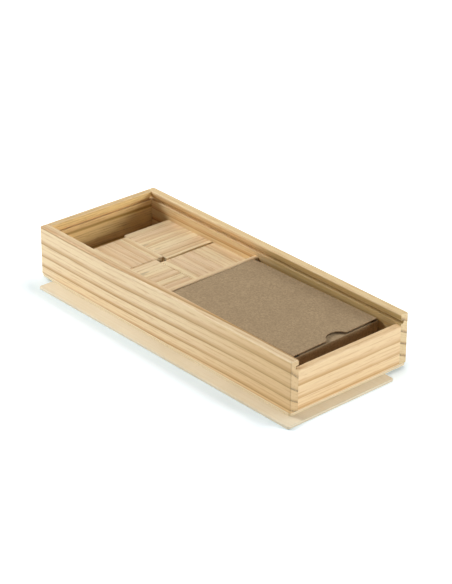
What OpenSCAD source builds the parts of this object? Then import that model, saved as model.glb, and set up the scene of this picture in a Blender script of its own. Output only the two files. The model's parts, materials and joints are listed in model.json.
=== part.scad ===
// Domino storage box with a sliding lid: a pine tray with two rooms, a full set of
// twenty-eight wooden tiles packed as a pinwheel, and a tuck-end carton of cards.
// The box stands open on its own lid, which was slid out of its grooves and laid flat.
// X runs along the lid grooves towards the entry end, Y from the front wall to the
// back wall, Z up. The origin is on the table, under the middle of the box.

/* [Boards] */
// Thickness of the two long walls
long_wall_t = 4.8; // [3.8:0.1:8]
// Thickness of the closed end wall
closed_wall_t = 3.9; // [3:0.1:7]
// Thickness of the lower entry wall
entry_wall_t = 3.9; // [2.4:0.1:7]
// Thickness of the divider between the two rooms
divider_t = 2.8; // [2:0.1:6]
// Thickness of the bottom panel
bottom_t = 1.5; // [1:0.1:4]
// Rounding along the top edges of the boards
arris_r = 0.7; // [0.3:0.1:0.9]
// Rounding of the upright outer corners of the frame
corner_r = 1; // [0.5:0.1:2]
// Rounding of the corners of the bottom panel
bottom_corner_r = 1.8; // [0.5:0.1:4]

/* [Lid and grooves] */
// Thickness of the lid
lid_t = 1.5; // [1:0.1:3]
// Depth of the grooves that the lid slides in
groove_d = 1.6; // [1:0.1:2]
// Free height of the lid in its grooves
lid_height_play = 0.4; // [0.2:0.05:0.8]
// Free width of the lid in each side groove
lid_side_play = 0.3; // [0.1:0.05:0.5]
// Free length of the lid in the end groove
lid_end_play = 0.4; // [0.2:0.1:1]
// Height of the lip that stays above the grooves
lip_h = 3.1; // [2:0.1:6]
// Rounding of the corners of the lid
lid_corner_r = 1.2; // [0.5:0.1:3]
// How far the lid sticks out past the entry end
lid_out_end = 6.4; // [0:0.1:12]
// How far the lid sticks out in front of the front wall, at the entry end
lid_out_front = 7.1; // [0:0.1:12]
// Turn of the lid under the box, seen from above
lid_turn = 0.5; // [0:0.1:2]

/* [Domino tiles] */
// Length of a tile
tile_l = 30.9; // [28:0.1:34]
// Width of a tile, its height as it stands on its long edge
tile_w = 15.8; // [14:0.1:19]
// Thickness of a tile
tile_t = 5.1; // [4.6:0.05:5.4]
// Gap from one tile to the next, and from the blocks to the long walls
tile_gap = 0.08; // [0.05:0.01:0.15]
// Rounding of the four corners of a tile's face
tile_corner_r = 0.8; // [0.3:0.1:2]
// Bevel along the straight edges of a tile
tile_bevel = 0.35; // [0.1:0.05:0.8]
// Diameter of a drilled pip
pip_d = 2; // [1:0.1:2.6]
// Distance between the rows of pips
pip_pitch = 4.2; // [3.2:0.1:4.6]
// Depth of the pips and of the scored line
pip_depth = 0.3; // [0.1:0.05:0.6]
// Width of the scored line across the middle of a tile
score_w = 0.6; // [0.3:0.1:1.2]

/* [Rooms] */
// Free length beside the front blocks of tiles, at the closed end
tile_free_l = 16.5; // [8:0.1:30]
// Gap between the two front blocks of tiles, and from them to the divider
front_block_gap = 0.3; // [0.1:0.1:2]
// Gap between the two back blocks of tiles, and from them to the divider
back_block_gap = 1.3; // [0.2:0.1:3]
// Free length between the carton's nearest corner and the entry wall
carton_free_l = 9.3; // [9:0.1:25]
// Gap from the carton's nearest corner to the back wall
carton_back_gap = 0.4; // [0.3:0.1:2]
// Turn of the carton in its room, seen from above
carton_turn = 1.5; // [0:0.1:2.5]
// Free height between what the box holds and a closed lid
headroom = 2.4; // [0.5:0.1:8]
// Drop from the groove floor to the top of the entry wall
entry_drop = 1.1; // [0.2:0.1:2]
// Drop from the groove floor to the top of the divider
divider_drop = 2.2; // [0.3:0.1:6]

/* [Card carton] */
// Length of the carton, with its closure
carton_l = 88.2; // [75:0.1:110]
// Width of the carton
carton_w = 57.4; // [50:0.2:60]
// Height of the carton as it lies flat
carton_h = 20.1; // [17:0.1:26]
// Thickness of the card board
card_t = 0.5; // [0.3:0.05:0.7]
// Gap at a fold, and between the carton and the divider
fold_gap = 0.15; // [0.1:0.05:0.3]
// Radius of the thumb notch in the top panel
notch_r = 6.5; // [5:0.1:10]
// How far the thumb notch reaches into the top panel
notch_depth = 4.6; // [2:0.1:4.8]
// Drop from the top panel to the fold of the closure
closure_drop = 1.2; // [0.8:0.1:2]
// Reach of the tuck tongue under the top panel
tongue_l = 14; // [9:0.5:20]
// Width cut away from each end of the tongue
tongue_side_cut = 4; // [2:0.5:8]
// Rounding of the tongue's inner corners
tongue_r = 5; // [2:0.5:8]
// Reach of each dust flap behind the closure
dust_flap_l = 15; // [8:0.5:18]
// Bevel at the free upper corner of a dust flap
dust_flap_bevel = 2; // [0.5:0.5:4]
// Free height between the cards and the tucked tongue
deck_headroom = 2.6; // [2.4:0.1:5]
// Free space round the pack of cards
deck_play = 0.4; // [0.2:0.1:1.5]
// Rounding of the corners of the cards
card_corner_r = 3.5; // [2:0.5:5]

/* [Hidden] */
ROUND = 32;              // segments of a small rounding
NOTCH_ROUND = 64;        // segments of the thumb notch
OVER = 1;                // how far a cut runs past the face it opens
BLOCK_TILES = 7;         // tiles in one block of the pinwheel
DOUBLE = 6;              // highest number of pips on half a tile

PINE = [0.90, 0.79, 0.61];
PINE_WARM = [0.93, 0.79, 0.60];
PINE_SHADE = [0.80, 0.64, 0.41];
PLY = [0.88, 0.79, 0.64];
TILE_WOOD = [0.90, 0.80, 0.66];
KRAFT = [0.66, 0.56, 0.43];
CARD_WHITE = [0.93, 0.92, 0.89];

// The tiles of a double-six set, each a pair of pip counts
TILES = [for (a = [0:DOUBLE]) for (b = [a:DOUBLE]) [a, b]];
function tile_name(pair) = str("tile_", pair[0], "_", pair[1]);

// The pinwheel: one block end on and one block side on fill the width of the box
tile_pitch = tile_t + tile_gap;
block_w = BLOCK_TILES * tile_pitch - tile_gap;
inner_w = tile_l + block_w + 3 * tile_gap;
box_w = inner_w + 2 * long_wall_t;

// Lengths along the box
tile_room_l = tile_free_l + tile_l + block_w + 2 * front_block_gap;
carton_reach = carton_l * cos(carton_turn) + carton_w * sin(carton_turn);
carton_room_l = fold_gap + carton_reach + carton_free_l;
box_l = closed_wall_t + tile_room_l + divider_t + carton_room_l + entry_wall_t;
x_closed = -box_l / 2;
x_divider = x_closed + closed_wall_t + tile_room_l;
x_carton = x_divider + divider_t + fold_gap;
x_entry = box_l / 2;

// Heights, from the table up, and of the boards above the bottom panel
z_bottom = lid_t;
z_floor = z_bottom + bottom_t;
groove_h = lid_t + lid_height_play;
groove_z = max(carton_h, tile_w) + headroom;
frame_h = groove_z + groove_h + lip_h;
entry_h = groove_z - entry_drop;
divider_h = groove_z - divider_drop;

// The lid, cut to run in the grooves
lid_w = inner_w + 2 * (groove_d - lid_side_play);
lid_l = box_l - closed_wall_t + groove_d - lid_end_play;

// The carton: its back corner at the divider, and its folds along its own length
carton_corner_y = inner_w / 2 - carton_back_gap - carton_l * sin(carton_turn);
panel_l = carton_l - card_t - fold_gap;
fold_r = card_t / 2;
hinge_u = carton_l - fold_r;
hinge_z = fold_r + fold_gap;
fold_z = carton_h - closure_drop - fold_r;
closure_w = carton_w - 2 * card_t;
tongue_w = carton_w - 2 * tongue_side_cut;
tongue_end_u = hinge_u - fold_r - 2 * fold_gap;
deck_h = fold_z - fold_r - deck_headroom - card_t;
deck_l = panel_l - 2 * card_t - 2 * deck_play;
deck_w = carton_w - 2 * card_t - 2 * deck_play;

// ---------------------------------------------------------------- outlines

// A rectangle with four round corners, about the origin
module rounded_rect(l, w, r) {
    square([l - 2 * r, w], center = true);
    square([l, w - 2 * r], center = true);
    for (sx = [-1, 1], sy = [-1, 1])
        translate([sx * (l / 2 - r), sy * (w / 2 - r)]) circle(r, $fn = ROUND);
}

// A rectangle with four bevelled corners, about the origin
module bevelled_rect(l, w, c) {
    polygon([
        [-l / 2 + c, -w / 2], [l / 2 - c, -w / 2], [l / 2, -w / 2 + c], [l / 2, w / 2 - c],
        [l / 2 - c, w / 2], [-l / 2 + c, w / 2], [-l / 2, w / 2 - c], [-l / 2, -w / 2 + c]]);
}

// A tab that reaches back from the origin, its two far corners round
module tab(l, w, r) {
    translate([-l + r, -w / 2]) square([l - r, w]);
    translate([-l, -w / 2 + r]) square([l, w - 2 * r]);
    for (s = [-1, 1]) translate([-l + r, s * (w / 2 - r)]) circle(r, $fn = ROUND);
}

// An upright board seen from its end: outer face at 0, both top edges rounded
module board_section(t, h) {
    square([t, h - arris_r]);
    translate([arris_r, 0]) square([t - 2 * arris_r, h]);
    for (u = [arris_r, t - arris_r])
        translate([u, h - arris_r]) circle(arris_r, $fn = ROUND);
}

// The same section with the lid groove in its inner face
module grooved_section(t) {
    difference() {
        board_section(t, frame_h);
        translate([t - groove_d, groove_z]) square([groove_d + OVER, groove_h]);
    }
}

// Stand a section up and run it along X or along Y, from the origin
module run_along_x(l) {
    rotate([90, 0, 90]) linear_extrude(l) children();
}

module run_along_y(l) {
    translate([0, l, 0]) rotate([90, 0, 0]) linear_extrude(l) children();
}

// ---------------------------------------------------------------- the box

// A long wall on the front side, grooved from end to end so that the groove shows in
// its end grain, and trimmed to the rounded corners of the plan and of the side view
module long_wall() {
    intersection() {
        translate([x_closed, -box_w / 2, z_floor])
            run_along_x(box_l) grooved_section(long_wall_t);
        translate([0, 0, z_floor])
            linear_extrude(frame_h) rounded_rect(box_l, box_w, corner_r);
        translate([x_closed, -box_w / 2, z_floor])
            run_along_y(box_w) board_section(box_l, frame_h);
    }
}

module front_wall() {
    color(PINE) long_wall();
}

module back_wall() {
    color(PINE_SHADE) mirror([0, 1, 0]) long_wall();
}

// The full-height end, grooved to take the end of the lid
module closed_end_wall() {
    color(PINE_SHADE)
        translate([x_closed, -inner_w / 2, z_floor])
            run_along_y(inner_w) grooved_section(closed_wall_t);
}

// The low end that the lid slides in over
module entry_end_wall() {
    color(PINE_WARM)
        translate([x_entry - entry_wall_t, -inner_w / 2, z_floor])
            run_along_y(inner_w) board_section(entry_wall_t, entry_h);
}

module bottom_panel() {
    color(PLY)
        translate([0, 0, z_bottom])
            linear_extrude(bottom_t) rounded_rect(box_l, box_w, bottom_corner_r);
}

module divider() {
    color(PINE)
        translate([x_divider, -inner_w / 2, z_floor])
            run_along_y(inner_w) board_section(divider_t, divider_h);
}

// The lid, laid flat on the table under the box and turned about its nearest corner
module sliding_lid() {
    color(PLY)
        translate([x_entry + lid_out_end, -box_w / 2 - lid_out_front, 0])
            rotate([0, 0, lid_turn]) translate([-lid_l / 2, lid_w / 2, 0])
                linear_extrude(lid_t) rounded_rect(lid_l, lid_w, lid_corner_r);
}

// ---------------------------------------------------------------- the tiles

// Where the pips of one number lie, in steps of the pip pitch
function pip_spots(n) = concat(
    n % 2 == 1 ? [[0, 0]] : [],
    n >= 2 ? [[-1, -1], [1, 1]] : [],
    n >= 4 ? [[-1, 1], [1, -1]] : [],
    n == 6 ? [[0, -1], [0, 1]] : []);

// A bare tile on its long edge: length along X, its face towards +Y
module tile_blank() {
    intersection() {
        translate([0, tile_t / 2, tile_w / 2])
            rotate([90, 0, 0]) linear_extrude(tile_t)
                rounded_rect(tile_l, tile_w, tile_corner_r);
        translate([-tile_l / 2, 0, tile_w / 2])
            run_along_x(tile_l) bevelled_rect(tile_t, tile_w, tile_bevel);
        linear_extrude(tile_w) bevelled_rect(tile_l, tile_t, tile_bevel);
    }
}

// The pips of one half, drilled into the face round the half's middle at x
module pips(n, x) {
    for (spot = pip_spots(n))
        translate([x + spot[0] * pip_pitch, tile_t / 2 + OVER, tile_w / 2 + spot[1] * pip_pitch])
            rotate([90, 0, 0]) cylinder(d = pip_d, h = pip_depth + OVER, $fn = ROUND);
}

module tile(pair) {
    color(TILE_WOOD)
        difference() {
            tile_blank();
            pips(pair[0], -tile_l / 4);
            pips(pair[1], tile_l / 4);
            translate([-score_w / 2, tile_t / 2 - pip_depth, -OVER])
                cube([score_w, pip_depth + OVER, tile_w + 2 * OVER]);
        }
}

// The left sides of the four blocks; the blocks at the front left and the back right
// lie along X, and the other two lie along Y
x_front_right = x_divider - front_block_gap - block_w;
x_back_right = x_divider - back_block_gap - tile_l;
x_front_left = min(x_front_right, x_back_right) - front_block_gap - tile_l;
x_back_left = x_back_right - back_block_gap - block_w;

// The middle of the tile in one slot of a block, and its turn about Z
y_side = inner_w / 2 - tile_gap;
function slot_middle(slot) = slot * tile_pitch + tile_t / 2;
function tile_place(block, slot) =
    block == 0 ? [x_front_left + tile_l / 2, -y_side + slot_middle(slot), 0] :
    block == 1 ? [x_back_left + slot_middle(slot), y_side - tile_l / 2, 90] :
    block == 2 ? [x_back_right + tile_l / 2, y_side - slot_middle(slot), 0] :
                 [x_front_right + slot_middle(slot), -y_side + tile_l / 2, 90];

module placed_tile(k) {
    place = tile_place(floor(k / BLOCK_TILES), k % BLOCK_TILES);
    translate([place[0], place[1], z_floor]) rotate([0, 0, place[2]]) tile(TILES[k]);
}

// ---------------------------------------------------------------- the card carton

// Puts a carton piece, drawn along X about its middle line, into the room
module in_carton_place() {
    translate([x_carton, carton_corner_y, z_floor])
        rotate([0, 0, carton_turn]) translate([0, -carton_w / 2, 0]) children();
}

// The glued sleeve: floor, sides, top with the thumb notch, and the shut far end
module sleeve_shell() {
    difference() {
        translate([0, -carton_w / 2, 0]) cube([panel_l, carton_w, carton_h]);
        translate([card_t, -carton_w / 2 + card_t, card_t])
            cube([panel_l, carton_w - 2 * card_t, carton_h - 2 * card_t]);
        translate([panel_l + notch_r - notch_depth, 0, carton_h - card_t - OVER])
            cylinder(r = notch_r, h = card_t + 2 * OVER, $fn = NOTCH_ROUND);
    }
}

// One dust flap, folded in from a side wall, its free upper corner bevelled
module dust_flap() {
    top = deck_h - fold_gap;
    translate([panel_l - card_t, carton_w / 2 - card_t, card_t])
        run_along_x(card_t) polygon([
            [fold_r, fold_gap], [-dust_flap_l, fold_gap], [-dust_flap_l, top - dust_flap_bevel],
            [-dust_flap_l + dust_flap_bevel, top], [fold_r, top]]);
}

module carton_sleeve() {
    color(KRAFT) in_carton_place() {
        sleeve_shell();
        dust_flap();
        mirror([0, 1, 0]) dust_flap();
    }
}

// The panel that shuts the open end, folded along its lower and upper edges
module carton_closure() {
    color(KRAFT) in_carton_place()
        translate([hinge_u, -closure_w / 2, 0]) run_along_y(closure_w) {
            translate([-fold_r, hinge_z]) square([card_t, fold_z - hinge_z]);
            translate([0, hinge_z]) circle(fold_r, $fn = ROUND);
            translate([0, fold_z]) circle(fold_r, $fn = ROUND);
        }
}

// The tongue that tucks in under the top panel
module carton_tongue() {
    color(KRAFT) in_carton_place()
        translate([tongue_end_u, 0, fold_z - fold_r])
            linear_extrude(card_t) tab(tongue_l, tongue_w, tongue_r);
}

// The pack of cards inside the carton
module card_pack() {
    color(CARD_WHITE) in_carton_place()
        translate([card_t + deck_play + deck_l / 2, 0, card_t])
            linear_extrude(deck_h) rounded_rect(deck_l, deck_w, card_corner_r);
}

// ---------------------------------------------------------------- all the pieces

front_wall();
back_wall();
closed_end_wall();
entry_end_wall();
bottom_panel();
divider();
sliding_lid();
for (k = [0:len(TILES) - 1])
    placed_tile(k);
carton_sleeve();
carton_closure();
carton_tongue();
card_pack();
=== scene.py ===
"""Looks of a wooden domino box: pine boards, the thin lid under the box, twenty-eight
tiles packed as a pinwheel, and a kraft carton of cards. Named lengths are millimetres."""
import json
import math
import random

import bmesh
import bpy
from mathutils import Matrix, Vector


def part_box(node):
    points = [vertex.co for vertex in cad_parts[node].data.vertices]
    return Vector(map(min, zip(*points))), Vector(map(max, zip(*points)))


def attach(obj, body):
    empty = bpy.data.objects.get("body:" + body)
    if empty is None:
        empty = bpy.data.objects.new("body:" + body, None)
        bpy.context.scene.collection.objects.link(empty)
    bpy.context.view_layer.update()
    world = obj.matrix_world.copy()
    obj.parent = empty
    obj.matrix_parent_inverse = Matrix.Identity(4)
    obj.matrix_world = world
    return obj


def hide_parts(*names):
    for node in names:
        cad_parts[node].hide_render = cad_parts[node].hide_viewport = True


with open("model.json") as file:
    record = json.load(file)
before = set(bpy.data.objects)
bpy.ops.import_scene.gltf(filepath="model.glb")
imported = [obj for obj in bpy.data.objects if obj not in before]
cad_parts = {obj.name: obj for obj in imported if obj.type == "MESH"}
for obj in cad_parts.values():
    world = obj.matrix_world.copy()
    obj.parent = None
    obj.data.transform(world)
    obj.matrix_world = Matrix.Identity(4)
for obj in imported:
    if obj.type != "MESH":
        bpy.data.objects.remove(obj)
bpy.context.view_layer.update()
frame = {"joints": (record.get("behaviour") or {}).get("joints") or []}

MM = 0.001
UP = Vector((0, 0, 1))

# -------- sizes, in millimetres

# The boards
ARRIS = 0.7            # rounding along the top edges
CORNER = 1.0           # the largest rounding, which the others are a share of
UPRIGHT = 0.55         # rounding of the upright outer corners
SANDED = 0.15          # rounding that sanding leaves on every other edge
GROOVE_DEPTH = 1.6
GROOVE_HEIGHT = 1.9
LIP = 3.1              # height of the wall above the groove
PANEL_CORNER = 1.8     # rounding of the bottom panel's corners
LID_CORNER = 1.2       # rounding of the lid's corners
SHEET_EDGE = 0.3       # rounding along the edges of the thin sheets
SEAM = 0.3             # rounding of the walls' lower edges, above the bottom panel

# The tiles
TILE_CORNER = 0.5      # rounding of the four corners of a tile's face
TILE_EDGE = 0.13       # rounding along a tile's straight edges
TILE_END_EDGE = 0.4    # rounding of a tile's edges at its ends
PIP_PITCH = 4.2
PIP_DIAMETER = 2.0
PIP_DEPTH = 0.3
SCORE_WIDTH = 0.6
DOUBLE = 6             # highest number on half a tile
TILE_SEED = 28

# The card carton, in its own frame: along it, across it from the middle line, and up
CARTON_LENGTH = 88.2
CARTON_WIDTH = 57.4
CARTON_HEIGHT = 20.1
BOARD = 0.5            # thickness of the card board
FOLD_GAP = 0.15
CREASE = 0.9           # rounding of the carton's long folds
NOTCH_RADIUS = 6.5
NOTCH_DEPTH = 4.6
NOTCH_LIP = 0.7        # rounding where the notch meets the panel's edge
CLOSURE_DROP = 1.2
TONGUE_LENGTH = 14.0
TONGUE_SIDE_CUT = 4.0
TONGUE_CORNER = 5.0
FLAP_REACH = 15.0      # how far a dust flap reaches in
FLAP_BEVEL = 2.0
CARD_THICKNESS = 0.28
CARD_CORNER = 3.5
CARD_PLAY = 0.4
DECK_HEADROOM = 2.6
CARD_MARGIN = 1.0      # what a card is smaller than the room of the pack
CARD_SHARE = 0.9       # share of its layer that a card fills
CARD_SLIP = 0.3        # how far a card may lie out of line
CARD_SEED = 54
BULGE = 0.25           # how far the top panel bellies out
BULGE_REACH = 0.85     # how much of a half wave the belly takes along the panel

# Into how many steps the carton's curves are divided
EDGE_STEPS = 6
NOTCH_STEPS = 10
CREASE_STEPS = 6
FOLD_STEPS = 8
STATIONS = 16          # along the sleeve
LIP_INWARD = 0.12      # how the notch's lip leans, as shares of its rounding
LIP_BACK = 0.6
STRAIGHT_MARGIN = 2.0  # between the last straight station and the notch
BOARD_EASE = 0.3       # rounding of the board's edges, as a share of its thickness

# -------- the camera

# Fitted to the corners of the box in the photograph
CAMERA_AZIMUTH = 48.77
CAMERA_ELEVATION = 27.108
CAMERA_ROLL = 0.296
CAMERA_DISTANCE = 1032.635
CAMERA_AIM = (0.956, 5.507, 15.0)
FOCAL_PIXELS = 2034.353
PICTURE_WIDTH = 452
SENSOR_WIDTH = 36.0
NEAREST_SEEN = 0.01    # metres
FARTHEST_SEEN = 20


def make_camera():
    """The camera of the photograph, set by its right, up and back directions."""
    azimuth = math.radians(CAMERA_AZIMUTH)
    elevation = math.radians(CAMERA_ELEVATION)
    roll = math.radians(CAMERA_ROLL)
    level = math.cos(elevation)
    back = Vector((math.sin(azimuth) * level, -math.cos(azimuth) * level, math.sin(elevation)))
    level_right = (-back).cross(UP).normalized()
    level_up = level_right.cross(-back)
    right = math.cos(roll) * level_right + math.sin(roll) * level_up
    up = math.cos(roll) * level_up - math.sin(roll) * level_right
    place = (Vector(CAMERA_AIM) + back * CAMERA_DISTANCE) * MM
    lens = bpy.data.cameras.new("camera")
    lens.sensor_fit = "HORIZONTAL"
    lens.sensor_width = SENSOR_WIDTH
    lens.lens = FOCAL_PIXELS * SENSOR_WIDTH / PICTURE_WIDTH
    lens.clip_start = NEAREST_SEEN
    lens.clip_end = FARTHEST_SEEN
    camera = bpy.data.objects.new("camera", lens)
    turn = Matrix((right, up, back)).transposed()
    camera.matrix_world = Matrix.Translation(place) @ turn.to_4x4()
    bpy.context.scene.collection.objects.link(camera)
    bpy.context.scene.camera = camera


# -------- building finishes

def tone(red, green, blue):
    """A display colour from 0 to 255 as the linear colour that a shader takes."""
    def linear(value):
        value /= 255
        return value / 12.92 if value <= 0.04045 else ((value + 0.055) / 1.055) ** 2.4
    return linear(red), linear(green), linear(blue), 1.0


class Nodes:
    """A node tree while it is being laid out."""

    def __init__(self, tree):
        self.tree = tree
        self.nodes = tree.nodes
        self.links = tree.links

    def feed(self, node, inputs):
        """Links outputs to a node's inputs, or sets the inputs' own values. The outputs of
        a list all go to one input."""
        for key, value in inputs.items():
            for part in value if isinstance(value, list) else [value]:
                if isinstance(part, bpy.types.NodeSocket):
                    self.links.new(part, node.inputs[key])
                else:
                    node.inputs[key].default_value = part

    def add(self, kind, inputs, output=0, **settings):
        """Adds a node, feeds it and gives one of its outputs."""
        node = self.nodes.new(kind)
        for key, value in settings.items():
            setattr(node, key, value)
        self.feed(node, inputs)
        return node.outputs[output]

    def parts(self, vector):
        """The three coordinates of a vector."""
        return self.add("ShaderNodeSeparateXYZ", {0: vector}).node.outputs

    def math(self, operation, first, second=0.0):
        return self.add("ShaderNodeMath", {0: first, 1: second}, operation=operation)

    def times(self, first, second):
        return self.math("MULTIPLY", first, second)

    def less(self, first, second):
        return self.math("SUBTRACT", first, second)

    def rest(self, share):
        return self.less(1.0, share)

    def either(self, *choices):
        """The largest of several values."""
        largest = choices[0]
        for choice in choices[1:]:
            largest = self.math("MAXIMUM", largest, choice)
        return largest


class Finish(Nodes):
    """A material while its nodes are being laid out."""

    def __init__(self, name):
        self.material = bpy.data.materials.new(name)
        self.material.use_nodes = True
        super().__init__(self.material.node_tree)
        self.shader = self.nodes["Principled BSDF"]

    def attribute(self, name, output):
        return self.add("ShaderNodeAttribute", {}, output, attribute_name=name)

    def object_place(self):
        """Object coordinates, in millimetres."""
        place = self.add("ShaderNodeTexCoord", {}, "Object")
        return self.stretch(place, (1 / MM, 1 / MM, 1 / MM))

    def stretch(self, vector, factors):
        return self.add("ShaderNodeVectorMath", {0: vector, 1: factors}, operation="MULTIPLY")

    def total(self, *terms):
        """The sum of (value, factor) pairs."""
        whole = 0.0
        for value, factor in terms:
            inputs = {0: value, 1: factor, 2: whole}
            whole = self.add("ShaderNodeMath", inputs, operation="MULTIPLY_ADD")
        return whole

    def noise(self, vector, stretch=None, detail=2.0, roughness=0.5):
        if stretch:
            vector = self.stretch(vector, stretch)
        return self.add("ShaderNodeTexNoise", {
            "Vector": vector, "Scale": 1.0, "Detail": detail, "Roughness": roughness}, "Fac")

    def ramp(self, value, low, high, bottom, top):
        """A smooth step from bottom to top as value goes from low to high."""
        return self.add("ShaderNodeMapRange", {
            "Value": value, "From Min": low, "From Max": high, "To Min": bottom, "To Max": top},
            interpolation_type="SMOOTHSTEP")

    def rise(self, value, low, high, top=1.0):
        return self.ramp(value, low, high, 0.0, top)

    def fall(self, value, low, high, top=1.0):
        return self.ramp(value, low, high, top, 0.0)

    def blend(self, share, first, second):
        """Goes from the first colour to the second by a share."""
        return self.add("ShaderNodeMix", {0: share, 6: first, 7: second}, 2, data_type="RGBA")

    def finish(self, colour, roughness, relief, depth):
        """Feeds the shader: a colour, a roughness, and a relief whose full height is depth."""
        bump = self.add("ShaderNodeBump", {
            "Height": relief, "Distance": depth * MM, "Strength": 1.0})
        self.feed(self.shader, {"Base Color": colour, "Roughness": roughness, "Normal": bump})
        return self.material


# -------- the finishes

END_GRAIN = tone(214, 190, 152)
END_STROKE = tone(136, 112, 84)      # a ring cut across
SMUDGE = tone(150, 130, 96)
# Painted shade: a darker colour for faces into the box, which hardly catch the light
INNER_SHADE = tone(196, 152, 92)           # inner faces that hardly catch the light

# How fast a pattern changes along the grain, across the board and up it
FIBRE_STRETCH = (0.25, 5.0, 5.0)
STREAK_STRETCH = (0.012, 0.8, 0.8)
FLECK_STRETCH = (0.07, 1.1, 1.1)
DASH_STRETCH = (0.16, 2.4, 2.4)
SMUDGE_STRETCH = (0.05, 0.3, 0.3)
TINT_STRETCH = (0.004, 0.01, 0.01)
DRIFT_STRETCH = (0.009, 0.03, 0.03)
RIPPLE_STRETCH = (0.05, 0.2, 0.2)
BEAT_STRETCH = 0.013   # along a ring, from ring to ring it jumps
BEAT_JUMP = 3.7

# Places on a board, in millimetres along it and up from the table
CLIMB_START = -60.0
CLIMB_END = 75.0
CARTON_SHADE_START = -12.0
CARTON_SHADE_END = 12.0
WARM_START = -10.0
WARM_END = 95.0
RIM_START = 29.6
RIM_END = 30.3

# Shares of the step from one ring to the next
RING_EDGE = 0.1        # the dark edge
RING_ONSET = 0.94      # where the next ring starts to darken
RING_BLUSH = 0.5       # the blush over a ring
CUT_STROKE = 0.24      # a ring's stroke on a cut end
FINE_RING = 1.35       # step of the faint rings between the main ones, in millimetres
GRAIN_RELIEF = 0.05    # height of the grain's relief, in millimetres
PLY_RELIEF = 0.04


def growth_height(wood, grain, shifted, ring_step, first_ring, climb, slant, wave, crowding):
    """How many rings up each point lies: level, but for a slow climb and some waves. The
    rings may crowd together towards the bottom of the board."""
    along, across, up = wood.parts(grain)
    crowded = wood.times(up, wood.total((up, -crowding), (1.0, 1.0)))
    drift = wood.noise(shifted, DRIFT_STRETCH, 1.0)
    ripple = wood.noise(shifted, RIPPLE_STRETCH, 2.0)
    climbing = wood.ramp(along, CLIMB_START, CLIMB_END, 0.0, -climb)
    height = wood.total((crowded, 1.0), (across, slant), (drift, wave * 3), (ripple, wave),
                        (climbing, 1.0), (1.0, -first_ring - wave * 2))
    return along, up, height, wood.math("DIVIDE", height, ring_step)


def ring_vigour(wood, along, step, strength, seed):
    """How strong each ring is, which differs from ring to ring and along the board."""
    beat = wood.add("ShaderNodeCombineXYZ", {
        0: wood.times(along, BEAT_STRETCH), 1: wood.times(wood.math("FLOOR", step), BEAT_JUMP),
        2: seed})
    return wood.ramp(wood.noise(beat, detail=1.0), 0.3, 0.62, strength * 0.5, strength)


def ground_colour(wood, pale, blush, tint, inner, shifted, spot, streaks, flecks):
    """The wood between the rings, with streaks and flecks of blush."""
    colour = pale
    # Faces into the box take the inner colour, which is painted light and shade: darker on the
    # front and entry boards, brighter on the closed end
    if inner:
        colour = wood.blend(wood.attribute("inside", "Fac"), colour, inner)
    if tint:
        cloud = wood.noise(shifted, TINT_STRETCH, 1.0)
        colour = wood.blend(wood.rise(cloud, 0.4, 0.6, 0.7), colour, tint)
    colour = wood.blend(wood.rise(streaks, 0.45, 0.75, 0.5), colour, blush)
    colour = wood.blend(wood.rise(flecks, 0.5, 0.75, 0.5), colour, blush)
    return wood.blend(wood.fall(spot, 0.0, RING_BLUSH, 0.6), colour, blush)


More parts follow.
